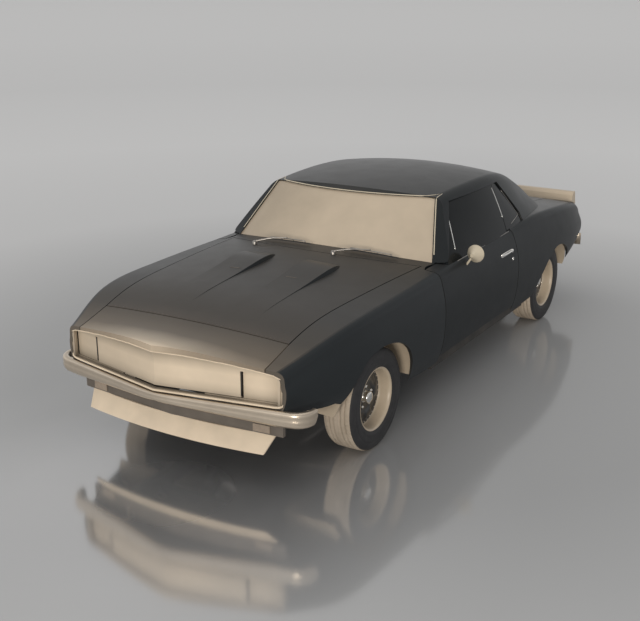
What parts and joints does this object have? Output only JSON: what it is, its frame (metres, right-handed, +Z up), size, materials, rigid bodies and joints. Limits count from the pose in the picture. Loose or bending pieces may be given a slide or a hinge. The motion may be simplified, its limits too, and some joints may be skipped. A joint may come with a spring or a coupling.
{
  "type": "muscle car",
  "caption": "Two-door coupe with opening doors, hood, trunk and lamp covers, steered front wheels and four wheels that turn.",
  "frame": {"origin": "on the ground, under the middle of the car's outer box", "axes": "front faces -Y, the driver's left side is +X, +Z is up"},
  "size_m": [1.8924, 4.7105, 1.306],
  "materials": {
    "body_paint": "satin charcoal",
    "windscreen": null,
    "side_glass": "dark tinted",
    "grille": "satin beige",
    "lens": "satin",
    "tail_lens": "dark red",
    "bumper": "champagne satin",
    "valance": "satin",
    "air_dam": "satin beige",
    "spoiler": "satin beige",
    "chassis": "satin black",
    "arch": "beige",
    "iron": "cast",
    "trim": "grained",
    "seat": "vinyl",
    "exhaust": "dull",
    "mirror": "cream",
    "tyre": "satin rubber",
    "rim": "beige satin"
  },
  "bodies": {
    "body": {"front_fenders": "body_paint", "header_panel": "body_paint", "cowl": "body_paint", "rear_body": "body_paint", "roof": "body_paint", "windscreen": "windscreen", "rear_glass": "side_glass", "grille": "grille", "lamps": "lens", "tail_lamps": "tail_lens", "front_bumper": "bumper", "rear_bumper": "bumper", "front_valance": "valance", "air_dam": "air_dam", "front_subframe": "chassis", "rear_axle": "chassis", "floor_pan": "chassis", "arch_liners": "arch", "engine": "iron", "radiator": "chassis", "dashboard": "trim", "front_seats": "seat", "rear_seat": "seat", "exhaust": "exhaust"},
    "hood": {"hood": "body_paint"},
    "trunk": {"trunk_lid": "body_paint", "spoiler": "spoiler"},
    "left_door": {"door_left": "body_paint", "door_glass_left": "side_glass", "mirror": "mirror"},
    "right_door": {"door_right": "body_paint", "door_glass_right": "side_glass"},
    "left_lamp_door": {"lamp_door_left": "grille"},
    "right_lamp_door": {"lamp_door_right": "grille"},
    "left_knuckle": {"knuckle_left": "chassis"},
    "right_knuckle": {"knuckle_right": "chassis"},
    "steering": {"steering_wheel": "trim"},
    "front_left_wheel": {"rim_front_left": "rim", "tyre_front_left": "tyre"},
    "front_right_wheel": {"rim_front_right": "rim", "tyre_front_right": "tyre"},
    "rear_left_wheel": {"rim_rear_left": "rim", "tyre_rear_left": "tyre"},
    "rear_right_wheel": {"rim_rear_right": "rim", "tyre_rear_right": "tyre"}
  },
  "joints": [
    {"name": "hood_hinge", "type": "hinge", "parent": "body", "child": "hood", "pos_m": [0, -0.635, 0.94], "axis": [-1, 0, 0], "range_deg": [0, 50]},
    {"name": "trunk_hinge", "type": "hinge", "parent": "body", "child": "trunk", "pos_m": [0, 1.644, 0.905], "axis": [1, 0, 0], "range_deg": [0, 70]},
    {"name": "left_door_hinge", "type": "hinge", "parent": "body", "child": "left_door", "pos_m": [0.885, -0.605, 0.57], "axis": [0, 0, -1], "range_deg": [0, 65]},
    {"name": "right_door_hinge", "type": "hinge", "parent": "body", "child": "right_door", "pos_m": [-0.885, -0.605, 0.57], "axis": [0, 0, 1], "range_deg": [0, 65]},
    {"name": "left_lamp_door_slide", "type": "slide", "parent": "body", "child": "left_lamp_door", "axis": [-0.9807, -0.1956, 0], "range_m": [0, 0.19]},
    {"name": "right_lamp_door_slide", "type": "slide", "parent": "body", "child": "right_lamp_door", "axis": [0.9807, -0.1956, 0], "range_m": [0, 0.19]},
    {"name": "steering_turn", "type": "hinge", "parent": "body", "child": "steering", "pos_m": [0.355, -0.17, 0.815], "axis": [0, 0.9135, 0.4067], "range_deg": [-528, 528]},
    {"name": "left_knuckle_turn", "type": "hinge", "parent": "body", "child": "left_knuckle", "pos_m": [0.66, -1.417, 0.306], "axis": [0, 0, 1], "range_deg": [-33.5, 33.5]},
    {"name": "right_knuckle_turn", "type": "hinge", "parent": "body", "child": "right_knuckle", "pos_m": [-0.66, -1.417, 0.306], "axis": [0, 0, 1], "range_deg": [-33.5, 33.5]},
    {"name": "front_left_wheel_spin", "type": "hinge", "parent": "left_knuckle", "child": "front_left_wheel", "pos_m": [0.752, -1.417, 0.306], "axis": [1, 0, 0], "continuous": true},
    {"name": "front_right_wheel_spin", "type": "hinge", "parent": "right_knuckle", "child": "front_right_wheel", "pos_m": [-0.752, -1.417, 0.306], "axis": [1, 0, 0], "continuous": true},
    {"name": "rear_left_wheel_spin", "type": "hinge", "parent": "body", "child": "rear_left_wheel", "pos_m": [0.752, 1.338, 0.306], "axis": [1, 0, 0], "continuous": true},
    {"name": "rear_right_wheel_spin", "type": "hinge", "parent": "body", "child": "rear_right_wheel", "pos_m": [-0.752, 1.338, 0.306], "axis": [1, 0, 0], "continuous": true}
  ],
  "couplings": [
    {"joint": "left_knuckle_turn", "follows": "steering_turn", "ratio": 0.0625},
    {"joint": "right_knuckle_turn", "follows": "steering_turn", "ratio": 0.0625}
  ]
}
